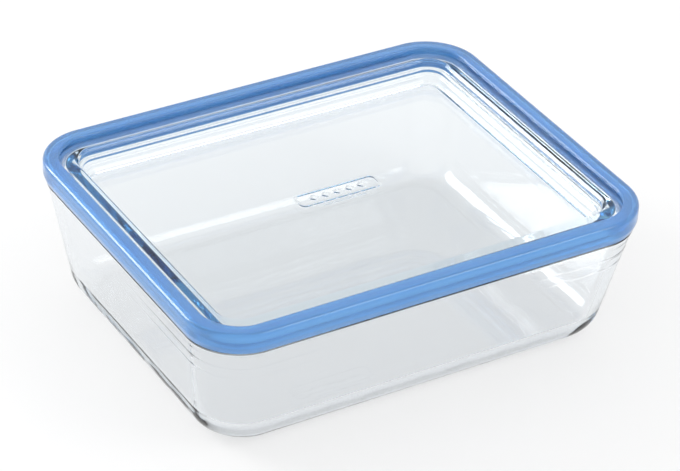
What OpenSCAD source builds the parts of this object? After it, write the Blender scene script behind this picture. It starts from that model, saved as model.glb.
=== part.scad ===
// Rectangular glass storage dish with a sunken glass lid held in a soft plastic sealing ring.
// The origin is the centre of the base, X runs along the long side and Z points up.

/* [Overall] */
// length over the sealing ring
body_l = 220; // [180:1:280]
// width over the sealing ring
body_w = 175; // [150:1:230]
// height of the closed container, from the base to the top of the ring
body_h = 68; // [55:1:90]
// corner radius of the ring's outer face
corner_r = 25.3; // [25.2:0.1:32]

/* [Dish] */
// how far the rim stands inside the ring's outer face
rim_inset = 1.4; // [1:0.1:1.6]
// inset of the wall at the base, on the short sides
base_inset_x = 11; // [6:0.5:14]
// inset of the wall at the base, on the long sides
base_inset_y = 12.6; // [6:0.5:14]
// thickness of the walls
wall_t = 4.2; // [3.5:0.1:4.3]
// thickness of the floor
floor_t = 4.6; // [3.5:0.1:7]
// outer rounding between wall and base
foot_r = 14; // [8:0.5:16]
// inner rounding between wall and floor
floor_r = 10; // [5:0.5:14]
// corner radius of the outer wall, low down
base_corner_r = 22.5; // [18:0.5:25]
// rounding along the rim
rim_r = 1.3; // [0.6:0.1:1.6]

/* [Lid glass] */
// thickness of the pressed glass
lid_t = 4; // [3:0.1:4.2]
// how far the ledge lies below the top of the ring
ledge_drop = 1.9; // [1.2:0.1:3]
// how far the sunken panel lies below the ledge
panel_drop = 9.8; // [8:0.1:10.2]
// inset of the edge where the ledge turns down
sink_inset = 14.6; // [14:0.1:15]
// slope of the sunken wall, in degrees
sink_angle = 58; // [55:1:60]
// rounding of the edge where the ledge turns down
sink_edge_r = 1.5; // [0.8:0.1:2]
// rounding between the sunken wall and the panel
sink_foot_r = 2.5; // [1:0.5:3]
// inset of the steep face under the ledge, at its top
under_inset = 10.5; // [10:0.1:11]
// how far that steep face leans in on its way down
under_lean = 1; // [0.5:0.1:1.5]
// inset of the line where the underside reaches the flat of the panel
under_flat_inset = 16.5; // [15.5:0.1:18]
// length of the raised frame near the middle of the panel
mark_l = 41; // [30:1:50]
// width of the raised frame
mark_w = 9.6; // [8:0.1:14]
// how far the frame lies from the middle of the panel, lengthways
mark_x = 2.9; // [-5:0.1:5]
// how far the frame lies from the middle of the panel, across
mark_y = 5.8; // [-8:0.1:8]
// how far the frame stands above the panel
mark_rise = 0.3; // [0.2:0.05:0.5]

/* [Sealing ring] */
// height of the ring above the dish rim
ring_h = 10; // [9.5:0.1:11]
// width of the ring on top
ring_w = 7.2; // [6:0.1:8]
// width of the soft jaw under the glass
jaw_w = 8.6; // [8.3:0.1:9]
// how far the lip reaches down inside the dish
lip_drop = 2; // [1:0.1:2.5]
// thickness of the lip
lip_t = 1.7; // [1:0.1:1.7]
// width of the plastic outside the glass edge
cover_t = 2.2; // [1.5:0.1:3]
// rounding of the ring's outer top edge
ring_edge_r = 1.7; // [1:0.1:2.5]
// rounding of the ring's inner top edge
ring_inner_r = 0.9; // [0.5:0.1:1]
// how far the outer face draws in at the bottom
ring_draft = 1; // [0.5:0.1:1.3]
// height over which the outer face draws in
ring_draft_h = 3; // [2:0.1:4]

/* [Hidden] */
$fn = 96;
rim_z = body_h - ring_h;
ledge_z = body_h - ledge_drop;
flange_z = ledge_z - lid_t;
panel_z = ledge_z - panel_drop;
panel_under_z = panel_z - lid_t;
lip_z = rim_z - lip_drop;

// the sunken wall: where its slope meets the panel
sink_run = panel_drop / tan(sink_angle);
sink_end = sink_inset + sink_run;

// its underside: a steep face below the ledge, then a slope to the flat of the panel
under_edge = [-under_inset, flange_z];
under_knee = [-under_inset - under_lean, panel_z + 0.2];
under_flat = [-under_flat_inset, panel_under_z];
steep_angle = atan2(flange_z - under_knee.y, under_lean);
slope_angle = atan2(under_knee.y - panel_under_z, under_knee.x - under_flat.x);
under_edge_r = 1;
under_knee_r = 1.5;
under_flat_r = 1.5;

// the raised frame on the panel
mark_line = 0.8;
mark_corner_r = 3;
mark_sink = 0.2;
lozenge_side = 2.4;
lozenge_pitch = 6;
lozenge_last = 2;

// the dish: how its walls lean and where its roundings start
corner_steps = 12;
arc_steps = 8;
rim_steps = 4;
lean_x = atan((base_inset_x - rim_inset) / rim_z);
lean_y = atan((base_inset_y - rim_inset) / rim_z);
rim_corner_r = corner_r - rim_inset;
foot_shrink = 0.85;

// a ring with the section given in 2D, x outward from the outer face and y up
module around() {
    run_x = body_l - 2 * corner_r;
    run_y = body_w - 2 * corner_r;
    for (turn = [0, 180]) {
        rotate([0, 0, turn])
            side(body_w / 2, run_x)
                children();
        rotate([0, 0, turn + 90])
            side(body_l / 2, run_y)
                children();
    }
    for (quarter = [0:3]) {
        translate([corner_x(quarter) * run_x / 2, corner_y(quarter) * run_y / 2, 0])
            rotate([0, 0, quarter * 90])
                rotate_extrude(angle = 90)
                    translate([corner_r, 0])
                        children();
    }
}

// one straight side of the ring, half_across from the middle
module side(half_across, run) {
    translate([-run / 2, half_across, 0])
        rotate([90, 0, 90])
            linear_extrude(height = run)
                children();
}

// the sign of each corner's X and Y, counted from the +X +Y corner
function corner_x(quarter) = (quarter == 0 || quarter == 3) ? 1 : -1;
function corner_y(quarter) = (quarter < 2) ? 1 : -1;

// what lies between a corner at p and an arc of radius r that touches both its legs:
// the legs leave p at the angles leg_a and leg_b, less than a half turn apart
module corner_web(p, r, leg_a, leg_b) {
    half = abs(leg_b - leg_a) / 2;
    reach = r / tan(half);
    middle = (leg_a + leg_b) / 2;
    difference() {
        polygon([
            p,
            p + reach * [cos(leg_a), sin(leg_a)],
            p + reach * [cos(leg_b), sin(leg_b)]
        ]);
        translate(p + r / sin(half) * [cos(middle), sin(middle)])
            circle(r = r);
    }
}

// section of the lid glass, from the edge in the ring's groove to the panel
module lid_section() {
    union() {
        difference() {
            polygon([
                [-cover_t, flange_z],
                [-cover_t, ledge_z],
                [-sink_inset, ledge_z],
                [-sink_end, panel_z],
                [-corner_r, panel_z],
                [-corner_r, panel_under_z],
                under_flat,
                under_knee,
                under_edge
            ]);
            corner_web([-sink_inset, ledge_z], sink_edge_r, 0, -180 + sink_angle);
            corner_web(under_flat, under_flat_r, 180, slope_angle);
            corner_web(under_knee, under_knee_r, steep_angle, 180 + slope_angle);
        }
        corner_web([-sink_end, panel_z], sink_foot_r, 180, sink_angle);
        corner_web(under_edge, under_edge_r, 0, -180 + steep_angle);
    }
}

// a flat rectangle with round corners
module rounded_rect(l, w, r) {
    square([l - 2 * r, w], center = true);
    square([l, w - 2 * r], center = true);
    for (x = [-1, 1], y = [-1, 1]) {
        translate([x * (l / 2 - r), y * (w / 2 - r)])
            circle(r = r);
    }
}

// the raised frame and the row of lozenges in it
module panel_mark() {
    translate([mark_x, mark_y, panel_z - mark_sink]) {
        linear_extrude(height = mark_sink + mark_rise) {
            difference() {
                rounded_rect(mark_l, mark_w, mark_corner_r);
                rounded_rect(mark_l - 2 * mark_line, mark_w - 2 * mark_line, mark_corner_r - mark_line);
            }
            for (i = [-lozenge_last:lozenge_last]) {
                translate([i * lozenge_pitch, 0])
                    rotate(45)
                        square(lozenge_side, center = true);
            }
        }
    }
}

// pressed glass lid: a flat ledge all round and a sunken panel
module lid_glass() {
    color([0.93, 0.97, 0.98, 0.35])
        union() {
            around()
                lid_section();
            translate([0, 0, panel_under_z + lid_t / 2])
                cube([body_l - 2 * corner_r, body_w - 2 * corner_r, lid_t], center = true);
            panel_mark();
        }
}

// section of the soft ring: a jaw above the glass edge, a jaw below it and a lip
module ring_section() {
    difference() {
        polygon([
            [-ring_draft, rim_z],
            [0, rim_z + ring_draft_h],
            [0, body_h],
            [-ring_w, body_h],
            [-ring_w, ledge_z],
            [-cover_t, ledge_z],
            [-cover_t, flange_z],
            [-jaw_w, flange_z],
            [-jaw_w, lip_z],
            [-jaw_w + lip_t, lip_z],
            [-jaw_w + lip_t, rim_z]
        ]);
        corner_web([0, body_h], ring_edge_r, 180, 270);
        corner_web([-ring_w, body_h], ring_inner_r, 0, -90);
    }
}

// soft plastic ring that grips the lid glass and rests on the dish rim
module sealing_ring() {
    color([0.30, 0.53, 0.85])
        around()
            ring_section();
}

// a loop of points: a rectangle with round corners, inset from the outer size, at height z
function loop(inset_x, inset_y, r, z) = [
    for (quarter = [0:3], i = [0:corner_steps])
        let (a = 90 * (quarter + i / corner_steps))
            [
                corner_x(quarter) * (body_l / 2 - inset_x - r) + r * cos(a),
                corner_y(quarter) * (body_w / 2 - inset_y - r) + r * sin(a),
                z
            ]
];

// inset of the outer wall at height z, and its corner radius there
function wall_x(z) = rim_inset + (rim_z - z) * tan(lean_x);
function wall_y(z) = rim_inset + (rim_z - z) * tan(lean_y);
function wall_r(z) = base_corner_r + (rim_corner_r - base_corner_r) * z / rim_z;

// how far a rounding of radius r has drawn in from the leaning wall, at the angle a from straight down
function drawn_in(r, lean, a) = r * tan((90 - lean) / 2) - r * sin(a);

// rounding of the foot (back = 0) and of the floor (back = wall thickness), from the flat outward
function foot_loop(r, flat_z, back, a) =
    let (
        z = flat_z + r * (1 - cos(a)),
        in_x = wall_x(flat_z) + back / cos(lean_x) + drawn_in(r, lean_x, a),
        in_y = wall_y(flat_z) + back / cos(lean_y) + drawn_in(r, lean_y, a),
        past = in_x - wall_x(z) - back / cos(lean_x)
    )
    loop(in_x, in_y, wall_r(z) - back - foot_shrink * past, z);

// rounding of the rim, outer side (back = 0) or inner side, a measured up from level
function rim_loop(back, a) =
    let (
        away = rim_r * (1 - cos(a)),
        in_x = (back == 0) ? rim_inset + away : rim_inset + back / cos(lean_x) - away,
        in_y = (back == 0) ? rim_inset + away : rim_inset + back / cos(lean_y) - away,
        r = (back == 0) ? rim_corner_r - away : rim_corner_r - back + away
    )
    loop(in_x, in_y, r, rim_z - rim_r * (1 - sin(a)));

// pressed glass dish with leaning walls, closed below and open above
module dish() {
    foot_end = 90 - max(lean_x, lean_y);
    loops = concat(
        [for (i = [0:arc_steps]) foot_loop(foot_r, 0, 0, foot_end * i / arc_steps)],
        [for (i = [0:rim_steps]) rim_loop(0, 90 * i / rim_steps)],
        [for (i = [rim_steps:-1:0]) rim_loop(wall_t, 90 * i / rim_steps)],
        [for (i = [arc_steps:-1:0]) foot_loop(floor_r, floor_t, wall_t, foot_end * i / arc_steps)]
    );
    count = 4 * (corner_steps + 1);
    last = len(loops) - 1;
    color([0.93, 0.97, 0.98, 0.35])
        polyhedron(
            points = [for (l = loops) each l],
            faces = concat(
                [[for (i = [0:count - 1]) i]],
                [
                    for (k = [0:last - 1], i = [0:count - 1], half = [0, 1])
                        let (
                            j = (i + 1) % count,
                            a = k * count + i,
                            b = k * count + j,
                            c = a + count,
                            d = b + count
                        )
                            (half == 0) ? [a, c, b] : [b, c, d]
                ],
                [[for (i = [count - 1:-1:0]) last * count + i]]
            )
        );
}

dish();
lid_glass();
sealing_ring();
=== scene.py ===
"""Glass storage dish with a sunken glass lid in a soft plastic sealing ring, built round the
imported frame."""
import math

import bpy
import numpy as np
from mathutils import Matrix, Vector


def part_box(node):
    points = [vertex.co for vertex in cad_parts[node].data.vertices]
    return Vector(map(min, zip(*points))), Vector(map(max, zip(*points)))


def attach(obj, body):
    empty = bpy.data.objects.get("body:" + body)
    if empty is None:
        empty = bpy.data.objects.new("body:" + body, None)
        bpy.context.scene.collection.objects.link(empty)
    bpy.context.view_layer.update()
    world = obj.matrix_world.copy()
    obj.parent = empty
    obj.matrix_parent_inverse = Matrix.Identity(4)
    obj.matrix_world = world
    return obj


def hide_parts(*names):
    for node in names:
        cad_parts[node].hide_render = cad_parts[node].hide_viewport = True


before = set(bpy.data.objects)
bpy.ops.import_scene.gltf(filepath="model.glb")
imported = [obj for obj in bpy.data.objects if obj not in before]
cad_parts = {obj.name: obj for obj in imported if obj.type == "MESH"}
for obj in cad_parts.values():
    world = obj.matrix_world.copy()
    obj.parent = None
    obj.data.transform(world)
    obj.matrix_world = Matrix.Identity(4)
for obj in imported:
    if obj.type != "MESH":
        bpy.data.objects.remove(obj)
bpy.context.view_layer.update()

MM = 0.001

# ---------------------------------------------------------------- sizes
# The frame's boxes give the outer sizes. Insets are measured in from the ring's outer face.
dish_high = np.array(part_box("dish")[1])
lid_low = np.array(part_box("lid_glass")[0])
ring_high = np.array(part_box("sealing_ring")[1])

HALF = ring_high[:2].copy()                 # half length and half width over the ring
CORNER = 25.3 * MM                          # corner radius of the ring's outer face
TOP = ring_high[2]
RIM = dish_high[2]
RIM_INSET = HALF[0] - dish_high[0]
LEDGE = TOP - 1.9 * MM                      # height of the ledge, the lid's highest glass
LID_T = 4.0 * MM
FLANGE = LEDGE - LID_T                      # underside of the ledge
PANEL = lid_low[2] + LID_T                  # top of the sunken panel
GLASS_EDGE = 2.3 * MM                       # inset of the lid glass's outer edge
MARK_AT = np.array([2.9, 5.8]) * MM         # middle of the raised mark


# ---------------------------------------------------------------- shapes
def around(corner_steps, long_steps, short_steps):
    """Walks once round a rectangle with round corners, from the middle of the +X side, and gives
    for each point its place on the rectangle of corner centres (-1 to 1 both ways) and its
    outward normal. A point at half size h and corner radius r is place * (h - r) + normal * r."""
    turn = np.linspace(0, math.pi / 2, corner_steps + 1)
    places, normals = [], []
    signs = [(1, 1), (-1, 1), (-1, -1), (1, -1)]
    steps = [long_steps, short_steps, long_steps, short_steps]
    for quarter, (sign, count) in enumerate(zip(signs, steps)):
        angle = turn + quarter * math.pi / 2
        places.append(np.tile(sign, (len(angle), 1)))
        normals.append(np.stack([np.cos(angle), np.sin(angle)], -1))
        share = np.arange(1, count)[:, None] / count
        after = signs[(quarter + 1) % 4]
        places.append(np.array(sign) * (1 - share) + np.array(after) * share)
        normals.append(np.tile(np.round(normals[-1][-1], 9), (count - 1, 1)))
    return (np.concatenate(places).astype(float), np.concatenate(normals))


def wrap(walk, inset, height, radius):
    """Carries a profile round the walk: each profile point has an inset from the outer size
    (one number, or one each way), a height and a corner radius. Gives rows x points x 3."""
    place, normal = walk
    inset = np.asarray(inset, float)
    if inset.ndim == 1:
        inset = np.stack([inset, inset], -1)
    radius = np.asarray(radius, float)[:, None, None]
    size = HALF - inset[:, None, :]
    flat = place[None] * (size - radius) + normal[None] * radius
    level = np.broadcast_to(np.asarray(height, float)[:, None, None], flat.shape[:2] + (1,))
    return np.concatenate([flat, level], -1)


def rounded(points, radii, steps=10):
    """A path of straight legs in 2D whose corners are arcs: each corner with a radius is replaced
    by steps + 1 points on the circle that touches both its legs."""
    points = np.asarray(points, float)
    out = []
    for i, (corner, r) in enumerate(zip(points, radii)):
        if r == 0:
            out.append(corner[None])
            continue
        back = points[i - 1] - corner
        on = points[(i + 1) % len(points)] - corner
        back, on = back / np.linalg.norm(back), on / np.linalg.norm(on)
        half_angle = math.acos(np.clip(back @ on, -1, 1)) / 2
        centre = corner + (back + on) / np.linalg.norm(back + on) * r / math.sin(half_angle)
        first = corner + back * r / math.tan(half_angle) - centre
        last = corner + on * r / math.tan(half_angle) - centre
        a0, a1 = math.atan2(first[1], first[0]), math.atan2(last[1], last[0])
        swing = (a1 - a0 + math.pi) % (2 * math.pi) - math.pi
        angle = a0 + swing * np.linspace(0, 1, steps + 1)
        out.append(centre + r * np.stack([np.cos(angle), np.sin(angle)], -1))
    return np.concatenate(out)


def spaced(path, gap, closed=False):
    """Adds points along the straight legs of a path so that none is longer than gap."""
    ends = np.concatenate([path[1:], path[:1]]) if closed else path[1:]
    out = []
    for a, b in zip(path, ends):
        count = max(1, int(math.ceil(np.linalg.norm(b - a) / gap)))
        out.append(a + (b - a) * (np.arange(count) / count)[:, None])
    if not closed:
        out.append(path[-1:])
    return np.concatenate(out)


def waved(path, foot, head, count, height):
    """Gives the straight leg of a path from foot to head a row of small waves: points there are
    moved square to the leg by height * sin(2 pi count s) * sin(pi s), s running from 0 to 1 along
    it, and are spread evenly with 10 to each wave."""
    foot, head = np.array(foot), np.array(head)
    along = (head - foot) / np.linalg.norm(head - foot)
    square = np.array([along[1], -along[0]])
    reach = np.linalg.norm(head - foot)
    s = (path - foot) @ along / reach
    on_leg = (np.abs((path - foot) @ square) < 1e-7) & (s > 0) & (s < 1)
    first, last = np.flatnonzero(on_leg)[[0, -1]]
    share = np.linspace(0, 1, 10 * count)[:, None]
    leg = path[first] * (1 - share) + path[last] * share
    leg = leg + square * height * np.sin(2 * math.pi * count * share) * np.sin(math.pi * share)
    return np.concatenate([path[:first], leg, path[last + 1:]])


def quads(rows, cols, wrap_rows=False, flip=False):
    """The faces between rows of cols points, as four point numbers each. Every row is a loop, and
    wrap_rows joins the last row to the first."""
    r = np.arange(rows if wrap_rows else rows - 1)[:, None]
    c = np.arange(cols)[None, :]
    r1, c1 = (r + 1) % rows, (c + 1) % cols
    corners = np.broadcast_arrays(r * cols + c, r * cols + c1, r1 * cols + c1, r1 * cols + c)
    face = np.stack(corners, -1).reshape(-1, 4)
    return face[:, ::-1] if flip else face


def soft_ridge(distance, width):
    """A smooth bump: 1 at no distance, and 0 from the width on."""
    t = np.clip(1 - np.abs(distance) / width, 0, 1)
    return t * t * (3 - 2 * t)


def outward(walk, amount):
    """Steps of the amounts given, rows x points, along the walk's outward normals."""
    normal = np.concatenate([walk[1], np.zeros((len(walk[1]), 1))], -1)
    return normal[None] * amount[..., None]


def make_piece(name, points, faces, material):
    """Puts points and faces (arrays of point numbers, of any one length each) into a mesh."""
    mesh = bpy.data.meshes.new(name)
    points = np.asarray(points, np.float32).reshape(-1, 3)
    mesh.vertices.add(len(points))
    mesh.vertices.foreach_set("co", points.ravel())
    corners = np.concatenate([np.asarray(f, np.int32).ravel() for f in faces])
    counts = np.concatenate([np.full(len(f), np.asarray(f).shape[1]) for f in faces])
    mesh.loops.add(len(corners))
    mesh.loops.foreach_set("vertex_index", corners)
    mesh.polygons.add(len(counts))
    starts = np.concatenate([[0], np.cumsum(counts)[:-1]]).astype(np.int32)
    mesh.polygons.foreach_set("loop_start", starts)
    mesh.polygons.foreach_set("use_smooth", np.ones(len(counts), bool))
    mesh.update(calc_edges=True)
    mesh.validate()
    piece = bpy.data.objects.new(name, mesh)
    bpy.context.scene.collection.objects.link(piece)
    mesh.materials.append(material)
    return piece


# ---------------------------------------------------------------- shader maths
class Value:
    """A shader socket with Python's operators: an expression on it adds its Math nodes."""

    def __init__(self, graph, socket):
        self.graph, self.socket = graph, socket

    def maths(self, operation, a, b):
        """Adds a Math node that works on two values."""
        return self.graph.add("ShaderNodeMath", {"operation": operation}, {0: a, 1: b})

    def __add__(self, other):
        return self.maths("ADD", self, other)

    __radd__ = __add__

    def __mul__(self, other):
        return self.maths("MULTIPLY", self, other)

    __rmul__ = __mul__


class Graph:
    """A material's or world's nodes, each added with its settings first and then its sockets."""

    def __init__(self, tree):
        self.tree = tree
        tree.nodes.clear()

    def add(self, kind, settings=None, sockets=None, out=0):
        """Adds a node and gives its output number out, or the node itself if it has none."""
        node = self.tree.nodes.new(kind)
        for key, value in (settings or {}).items():
            if key == "stops":
                ramp = node.color_ramp
                while len(ramp.elements) < len(value):
                    ramp.elements.new(1)
                for stop, (at, colour) in zip(ramp.elements, value):
                    stop.position, stop.color = at, (*colour, 1)
            else:
                setattr(node, key, value)
        for key, value in (sockets or {}).items():
            if isinstance(value, Value):
                self.tree.links.new(value.socket, node.inputs[key])
            else:
                node.inputs[key].default_value = value
        return Value(self, node.outputs[out]) if node.outputs else node


def new_material(name):
    """An empty material and its graph."""
    material = bpy.data.materials.new(name)
    material.use_nodes = True
    return material, Graph(material.node_tree)


def noise(g, at, scale, detail, roughness):
    """A noise pattern, from 0 to 1, at the coordinates given."""
    return g.add("ShaderNodeTexNoise", {}, {
        "Vector": at, "Scale": scale, "Detail": detail, "Roughness": roughness})


def pressed_glass(name, tint, density, ripple):
    """Clear pressed glass: smooth, faintly tinted in its depth, with the slow ripple that the
    mould leaves and a finer unevenness from fire polishing."""
    material, g = new_material(name)
    at = g.add("ShaderNodeTexCoord", out=3)
    slow = noise(g, at, 38.0, 1.0, 0.4)
    fine = noise(g, at, 160.0, 2.0, 0.5)
    ripples = {"Strength": 1.0, "Distance": ripple, "Height": slow + fine * 0.08}
    bump = g.add("ShaderNodeBump", {}, ripples)
    shader = g.add("ShaderNodeBsdfPrincipled", {}, {
        "Base Color": (1, 1, 1, 1), "Roughness": 0.0, "IOR": 1.5, "Transmission Weight": 1.0,
        "Normal": bump})
    inside = g.add("ShaderNodeVolumeAbsorption", {}, {"Color": (*tint, 1), "Density": density})
    g.add("ShaderNodeOutputMaterial", {}, {"Surface": shader, "Volume": inside})
    return material


def soft_plastic(name):
    """Blue see-through soft plastic with a faintly frosted skin."""
    material, g = new_material(name)
    at = g.add("ShaderNodeTexCoord", out=3)
    cloud = noise(g, at, 40.0, 1.0, 0.5)
    grain = noise(g, at, 900.0, 1.0, 0.5)
    bump = g.add("ShaderNodeBump", {}, {"Strength": 1.0, "Distance": 0.002 * MM, "Height": grain})
    rough = cloud * 0.04 + 0.24
    blues = [(0.3, (0.18, 0.50, 0.94)), (0.7, (0.21, 0.54, 0.96))]
    colour = g.add("ShaderNodeValToRGB", {"stops": blues}, {"Fac": cloud})
    shader = g.add("ShaderNodeBsdfPrincipled", {}, {
        "Base Color": colour, "Roughness": rough, "IOR": 1.46, "Transmission Weight": 0.72,
        "Coat Weight": 0.6, "Coat Roughness": 0.14, "Coat IOR": 1.5, "Normal": bump})
    tint = {"Color": (0.30, 0.68, 0.98, 1), "Density": 50.0}
    inside = g.add("ShaderNodeVolumeAbsorption", {}, tint)
    g.add("ShaderNodeOutputMaterial", {}, {"Surface": shader, "Volume": inside})
    return material


# ---------------------------------------------------------------- the dish
WALL_T = 4.2 * MM
FLOOR_T = 4.6 * MM
BASE_INSET = np.array([11.0, 12.6]) * MM
LEAN = np.arctan((BASE_INSET - RIM_INSET) / RIM)
FOOT_R = 14 * MM
FLOOR_R = 10 * MM
FOOT_SHRINK = 0.85                          # how fast the corners tighten under the rounding
BASE_CORNER = 22.5 * MM
RIM_CORNER = CORNER - RIM_INSET
RIM_R = 1.3 * MM
RIDGE_HEIGHTS = (48.7 * MM, 43.0 * MM)
RIDGE_WIDTH = 0.7 * MM
RIDGE_RISE = 0.07 * MM
RIDGE_REACH = 60 * MM                       # from a corner's centre to where a ridge has faded
THICKENING = 0.75 * MM                      # extra glass half way round the inner rounding
SWAY = 0.06 * MM                            # height of each wave along it


def wall_inset(z):
    """Inset of the outer wall at height z, each way: the wall leans straight from rim to base."""
    return RIM_INSET + (RIM - np.asarray(z, float)[..., None]) * np.tan(LEAN)


def wall_corner(z):
    """Corner radius of the outer wall at height z."""
    return BASE_CORNER + (RIM_CORNER - BASE_CORNER) * np.asarray(z, float) / RIM


def foot(r, flat, back, angle):
    """The rounding between a flat at height flat and a wall that stands back from the outer one:
    a circle of radius r that touches both, at the angles given from straight down."""
    z = flat + r * (1 - np.cos(angle))
    start = wall_inset(np.full_like(angle, flat)) + back / np.cos(LEAN)
    inset = start + r * np.tan((math.pi / 2 - LEAN) / 2) - r * np.sin(angle)[:, None]
    past = inset[:, 0] - wall_inset(z)[:, 0] - back / math.cos(LEAN[0])
    return inset, z, wall_corner(z) - back - FOOT_SHRINK * past


def ridges(walk, points):
    """How far the fine ridges that the mould leaves push the outer skin out: each is a smooth
    bump in height, strongest round the two front corners and fading along the sides."""
    height = points[..., 2]
    bump = np.zeros_like(height)
    for z in RIDGE_HEIGHTS:
        bump += soft_ridge(height - z, RIDGE_WIDTH)
    share = np.zeros_like(height)
    for corner in ((-1, -1), (1, -1)):
        middle = (HALF - CORNER) * np.array(corner)
        away = np.hypot(points[..., 0] - middle[0], points[..., 1] - middle[1])
        share += np.clip((RIDGE_REACH - away) / RIDGE_REACH, 0, 1) ** 0.5
    return outward(walk, RIDGE_RISE * bump * share)


def thickening(walk, points):
    """How far the inner rounding stands in from its circle: most half way round it, nothing at
    the floor and a third of the most at its top, where it ends in a small step. Two small sine
    waves, 21 and 34 mm long, are added along the sides."""
    share = np.clip((points[..., 2] - FLOOR_T) / FLOOR_R, 0, 1)
    along = points[..., 0] + points[..., 1]
    wave = np.sin(2 * math.pi * along / (21 * MM)) + np.sin(2 * math.pi * along / (34 * MM) + 1.0)
    depth = SWAY * wave - THICKENING
    return outward(walk, depth * np.sin(math.pi * np.sqrt(share)))


def build_dish(material):
    """Outer skin from the base up, over the rim and down the inside to the floor."""
    walk = around(corner_steps=28, long_steps=60, short_steps=48)
    end = math.pi / 2 - LEAN.max()
    swing = np.linspace(0, end, 22)
    in_out, z_out, r_out = foot(FOOT_R, 0.0, 0.0, swing)
    in_in, z_in, r_in = foot(FLOOR_R, FLOOR_T, WALL_T, swing[::-1])
    z_wall = np.linspace(z_out[-1], RIM - RIM_R, 60)[1:-1]
    near_ridge = np.linspace(-1, 1, 15) * RIDGE_WIDTH
    z_wall = np.unique(np.concatenate([z_wall] + [near_ridge + z for z in RIDGE_HEIGHTS]))
    wall = (wall_inset(z_wall), z_wall, wall_corner(z_wall))
    lip = np.linspace(0, math.pi / 2, 9)
    away = RIM_R * (1 - np.cos(lip))
    lip_z = RIM - RIM_R * (1 - np.sin(lip))
    outer_lip = (np.stack([RIM_INSET + away] * 2, -1), lip_z, RIM_CORNER - away)
    inner = RIM_INSET + WALL_T / np.cos(LEAN)
    inner_lip = (inner - away[::-1, None], lip_z[::-1], RIM_CORNER - WALL_T + away[::-1])
    z_down = np.linspace(RIM - RIM_R, z_in[0], 60)[1:-1]
    inside = (wall_inset(z_down) + WALL_T / np.cos(LEAN), z_down, wall_corner(z_down) - WALL_T)
    parts = [(in_out, z_out, r_out), wall, outer_lip, inner_lip, inside, (in_in, z_in, r_in)]
    inset = np.concatenate([p[0] for p in parts])
    height = np.concatenate([p[1] for p in parts])
    radius = np.concatenate([p[2] for p in parts])
    # one more loop just inside each flat keeps the flats flat
    step, less = 0.6 * MM, 0.5 * MM
    inset = np.concatenate([inset[:1] + step, inset, inset[-1:] + step])
    height = np.concatenate([height[:1], height, height[-1:]])
    radius = np.concatenate([radius[:1] - less, radius, radius[-1:] - less])
    skin = wrap(walk, inset, height, radius)
    outside = np.arange(len(height)) < 1 + len(z_out) + len(z_wall)
    skin[outside] += ridges(walk, skin[outside])
    rounding = np.arange(len(height)) >= len(height) - 1 - len(z_in)
    skin[rounding] += thickening(walk, skin[rounding])
    rows, cols = skin.shape[:2]
    first = np.arange(cols)[::-1][None]
    last = (np.arange(cols) + (rows - 1) * cols)[None]
    return make_piece("pressed_dish", skin, [quads(rows, cols), first, last], material)


# ---------------------------------------------------------------- the lid glass
SINK = 14.6 * MM                            # inset where the ledge turns down
SINK_SLOPE = math.radians(58)
SINK_RUN = (LEDGE - PANEL) / math.tan(SINK_SLOPE)
WAVE_COUNT = 3                              # waves on the upper face of the sunken wall
WAVE_HEIGHT = -0.3 * MM
UNDER_EDGE = (10.5 * MM, FLANGE)            # underside: top of the steep face,
UNDER_KNEE = (11.5 * MM, PANEL + 0.2 * MM)  # its foot,
UNDER_FLAT = (16.5 * MM, PANEL - LID_T)     # and where the slope reaches the flat
MARK_RISE = 0.3 * MM
MARK_HALF = np.array([20.1, 4.4]) * MM      # the mark's frame line, half length and half width
MARK_CORNER = 2.6 * MM
MARK_LINE = 0.75 * MM                       # half width of the frame line, with its flanks
LOZENGE, LOZENGE_PITCH = 1.7 * MM, 6 * MM   # half size, and spacing of the five
LOZENGE_FLANK = 0.6 * MM
DASH_HALF, DASH_AT, DASH_LINE = 11 * MM, -7.0 * MM, 0.5 * MM
MARK_GRID = np.array([25, 9.5]) * MM        # half size of the fine grid that carries the mark


def lid_corner(inset):
    """Corner radius on the lid: concentric with the outer corner, but never under 2.6 mm."""
    least, soft = 2.6 * MM, 2.0 * MM
    free = CORNER - inset
    return (free + least + np.sqrt((free - least) ** 2 + soft ** 2)) / 2


def mark_height(x, y):
    """Height of the raised mark: a frame line round a rectangle with round corners, a row of
    lozenges inside it and a lower dash in front of it, each with soft flanks."""
    over_x = np.abs(x) - (MARK_HALF[0] - MARK_CORNER)
    over_y = np.abs(y) - (MARK_HALF[1] - MARK_CORNER)
    outside = np.hypot(np.maximum(over_x, 0), np.maximum(over_y, 0))
    from_frame = outside + np.minimum(np.maximum(over_x, over_y), 0) - MARK_CORNER
    nearest = np.clip(np.round(x / LOZENGE_PITCH), -2, 2) * LOZENGE_PITCH
    from_lozenge = np.maximum((np.abs(x - nearest) + np.abs(y)) - LOZENGE, 0)
    from_dash = np.hypot(np.maximum(np.abs(x) - DASH_HALF, 0), y - DASH_AT)
    line = soft_ridge(from_frame, MARK_LINE)
    dots = soft_ridge(from_lozenge, LOZENGE_FLANK)
    dash = soft_ridge(from_dash, DASH_LINE)
    return MARK_RISE * np.maximum(np.maximum(line, dots), 0.6 * dash)


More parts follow.
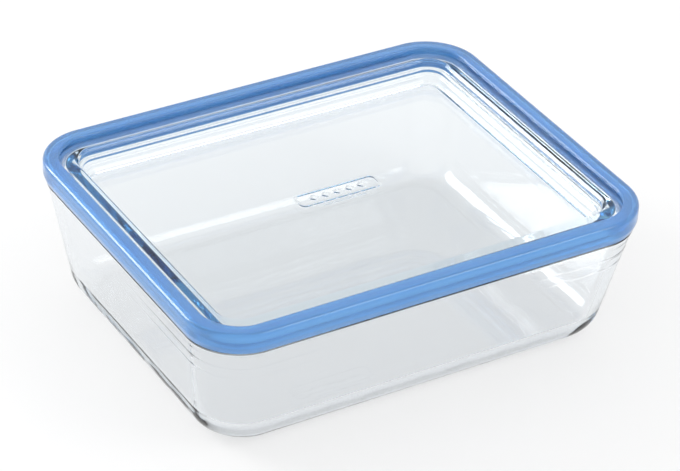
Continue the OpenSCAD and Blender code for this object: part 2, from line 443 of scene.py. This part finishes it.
def build_lid_glass(material):
    """Top from the mark outward over the panel, up the sunken wall to the ledge, round the edge
    that the ring grips, and back along the underside."""
    corner_steps, long_steps, short_steps = 24, 120, 88
    walk = around(corner_steps, long_steps, short_steps)
    inmost = CORNER + 3 * MM
    sink_foot, sink_head = (SINK + SINK_RUN, PANEL), (SINK, LEDGE)
    path = rounded([
        (inmost, PANEL), sink_foot, sink_head, (GLASS_EDGE, LEDGE), (GLASS_EDGE, FLANGE),
        UNDER_EDGE, UNDER_KNEE, UNDER_FLAT, (inmost, PANEL - LID_T)],
        np.array([0, 2.5, 1.5, 1.2, 1.2, 1.0, 1.5, 1.5, 0]) * MM, 9)
    path = spaced(path, 1.0 * MM)
    path = waved(path, sink_foot, sink_head, WAVE_COUNT, WAVE_HEIGHT)
    skin = wrap(walk, path[:, 0], path[:, 1], lid_corner(path[:, 0]))
    rows, cols = skin.shape[:2]

    # the middle of the panel is a grid that carries the mark, and its edge has as many points
    # as the walk: wide of them along each long side and tall along each short one
    wide = 2 * long_steps * 50 // 66
    tall = cols // 2 - wide
    half_l, half_w = MARK_GRID
    u = np.linspace(half_l, -half_l, wide + 1)
    v = np.linspace(-half_w, half_w, tall + 1)
    gx, gy = np.meshgrid(u, v, indexing="ij")
    grid = np.stack([gx + MARK_AT[0], gy + MARK_AT[1], PANEL + mark_height(gx, gy)], -1)
    number = np.arange((wide + 1) * (tall + 1)).reshape(wide + 1, tall + 1)
    edge_walk = np.concatenate([
        number[0, :-1], number[:-1, -1], number[-1, :0:-1], number[:0:-1, 0]])
    # line the walk round the grid up with the walk round the panel, corner to corner
    grid = grid.reshape(-1, 3)
    from_middle = grid[edge_walk, :2] - MARK_AT
    bearing = np.arctan2(from_middle[:, 1], from_middle[:, 0])
    start = np.argmax(np.arctan2(half_w, half_l) <= bearing)
    edge_walk = np.roll(edge_walk, -(start - corner_steps // 2))
    inner = grid[edge_walk]
    steps = np.linspace(0, 1, 14)[1:-1, None, None]
    between = skin[:1] * steps + inner[None] * (1 - steps)
    between[..., 2] = PANEL
    points = np.concatenate([grid, between.reshape(-1, 3), skin.reshape(-1, 3)])
    n_grid, n_between = len(grid), len(between) * cols
    a, b = number[:-1, :-1].ravel(), number[1:, :-1].ravel()
    c, d = number[1:, 1:].ravel(), number[:-1, 1:].ravel()
    grid_faces = np.stack([a, d, c, b], -1)
    first_loop = n_grid + np.arange(cols)
    following = np.roll(np.arange(cols), -1)
    seam_faces = np.stack([
        edge_walk, first_loop, first_loop[following], edge_walk[following]], -1)
    rest = quads(len(between) + rows, cols, flip=True) + n_grid
    last = (n_grid + n_between + (rows - 1) * cols + np.arange(cols))[::-1][None]
    faces = [grid_faces, seam_faces, rest, last]
    return make_piece("lid_panel_and_ledge", points, faces, material)


# ---------------------------------------------------------------- the sealing ring
RING_W = 7.2 * MM                           # width on top
DRAFT, DRAFT_H = 1.0 * MM, 3 * MM           # how the outer face draws in at the bottom
JAW_W = 8.6 * MM                            # inset of the inner faces of the jaw and the lip
LIP_AT = 6.9 * MM                           # inset of the lip's outer face
LIP_DROP = 2 * MM                           # how far the lip reaches below the dish's rim
SEAT_AT, SEAT_GAP = 1.6 * MM, 0.05 * MM     # the face that lies just over the dish's rim
GLASS_GAP = 0.04 * MM                       # room round the glass in the groove


def build_ring(material):
    """A closed profile carried once round: rounded on top, a groove round the edge of the glass,
    a jaw below it and a lip that reaches into the mouth of the dish."""
    walk = around(corner_steps=32, long_steps=60, short_steps=48)
    groove_in = GLASS_EDGE - GLASS_GAP
    groove_low, groove_high = FLANGE - GLASS_GAP, LEDGE + GLASS_GAP
    seat, lip_end = RIM + SEAT_GAP, RIM - LIP_DROP
    profile = rounded([
        (DRAFT, RIM), (0.0, RIM + DRAFT_H), (0.0, TOP),
        (RING_W, TOP), (RING_W, groove_high), (groove_in, groove_high),
        (groove_in, groove_low), (JAW_W, groove_low),
        (JAW_W, lip_end), (LIP_AT, lip_end), (LIP_AT, seat), (SEAT_AT, seat)],
        np.array([0.3, 3, 1.9, 1.0, 0.15, 1.2, 1.2, 0.4, 0.6, 0.6, 0.3, 0]) * MM, 8)
    profile = spaced(profile, 0.8 * MM, closed=True)
    skin = wrap(walk, profile[:, 0], profile[:, 1], CORNER - profile[:, 0])
    rows, cols = skin.shape[:2]
    return make_piece("soft_sealing_ring", skin, [quads(rows, cols, wrap_rows=True)], material)


clear = pressed_glass("clear_pressed_glass", (0.40, 0.56, 0.68), 18.0, 0.10 * MM)
clear_lid = pressed_glass("clear_lid_glass", (0.35, 0.66, 0.82), 18.0, 0.06 * MM)
blue = soft_plastic("blue_frosted_soft_plastic")

dish = build_dish(clear)
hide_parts("dish")
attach(dish, "dish")

lid = build_lid_glass(clear_lid)
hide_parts("lid_glass")
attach(lid, "lid")

ring = build_ring(blue)
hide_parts("sealing_ring")
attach(ring, "lid")


# ---------------------------------------------------------------- floor, light and camera
MIDDLE = np.array([0, 0, 0.03])             # what the lamps and the camera face


def build_floor():
    """A plain pale floor just under the dish, with a glow of its own that keeps shadows light."""
    mesh = bpy.data.meshes.new("studio_floor")
    reach, level = 3.0, -0.3 * MM
    corners = [(-reach, -reach, level), (reach, -reach, level),
               (reach, reach, level), (-reach, reach, level)]
    mesh.from_pydata(corners, [], [(0, 1, 2, 3)])
    floor = bpy.data.objects.new("studio_floor", mesh)
    bpy.context.scene.collection.objects.link(floor)
    material, g = new_material("pale_floor")
    shader = g.add("ShaderNodeBsdfPrincipled", {}, {
        "Base Color": (0.32, 0.32, 0.32, 1), "Roughness": 0.9, "Specular IOR Level": 0.0,
        "Emission Color": (1, 1, 1, 1), "Emission Strength": 0.64})
    g.add("ShaderNodeOutputMaterial", {}, {"Surface": shader})
    mesh.materials.append(material)


def stand(thing, right, up, back, spot):
    """Puts a lamp or a camera in the scene by its three axes and its spot."""
    rows = [(right[i], up[i], back[i], spot[i]) for i in range(3)]
    thing.matrix_world = Matrix(rows + [(0, 0, 0, 1)])
    bpy.context.scene.collection.objects.link(thing)


def add_softbox(name, toward, distance, size, radiance):
    """A square area light that faces the middle of the object from the direction given."""
    toward = np.array(toward, float)
    toward /= np.linalg.norm(toward)
    side = np.cross([0, 0, 1.0], toward)
    side /= np.linalg.norm(side)
    light = bpy.data.lights.new(name, "AREA")
    light.shape = "RECTANGLE"
    light.size, light.size_y = size
    light.energy = radiance * math.pi * size[0] * size[1]
    lamp = bpy.data.objects.new(name, light)
    stand(lamp, side, np.cross(toward, side), toward, toward * distance + MIDDLE)


def build_world():
    """Even white light from all round."""
    world = bpy.data.worlds.new("studio")
    bpy.context.scene.world = world
    world.use_nodes = True
    g = Graph(world.node_tree)
    back = g.add("ShaderNodeBackground", {}, {"Color": (1, 1, 1, 1), "Strength": 0.92})
    g.add("ShaderNodeOutputWorld", {}, {"Surface": back})


def build_camera():
    """The camera, turned about the dish, raised, rolled a little and aimed just off the middle."""
    azimuth, elevation, roll = (math.radians(a) for a in (-31.95, 33.44, 2.72))
    distance, lens, sensor = 1.400, 167.92412, 36
    aside, above = 1.62 * MM, 6.10 * MM
    back = np.array([math.sin(azimuth) * math.cos(elevation),
                     -math.cos(azimuth) * math.cos(elevation), math.sin(elevation)])
    right = np.array([math.cos(azimuth), math.sin(azimuth), 0])
    up = np.cross(back, right)
    right, up = (math.cos(roll) * right + math.sin(roll) * up,
                 -math.sin(roll) * right + math.cos(roll) * up)
    spot = aside * right + above * up + distance * back + MIDDLE
    camera = bpy.data.cameras.new("camera")
    camera.lens, camera.sensor_width = lens, sensor
    camera.clip_start = 0.05
    view = bpy.data.objects.new("camera", camera)
    stand(view, right, up, back, spot)
    bpy.context.scene.camera = view


build_floor()
build_world()
add_softbox("softbox_back_left", (-0.55, 0.71, 0.44), 1.5, (0.65, 0.65), 9.0)
add_softbox("softbox_front", (0.44, -0.55, 0.71), 1.5, (0.6, 0.6), 3.0)
build_camera()

scene = bpy.context.scene
scene.view_settings.view_transform = "Standard"
scene.cycles.use_denoising = True
scene.cycles.max_bounces = 40
scene.cycles.transmission_bounces = 40
scene.cycles.glossy_bounces = 24
scene.cycles.diffuse_bounces = 4
scene.cycles.volume_bounces = 0
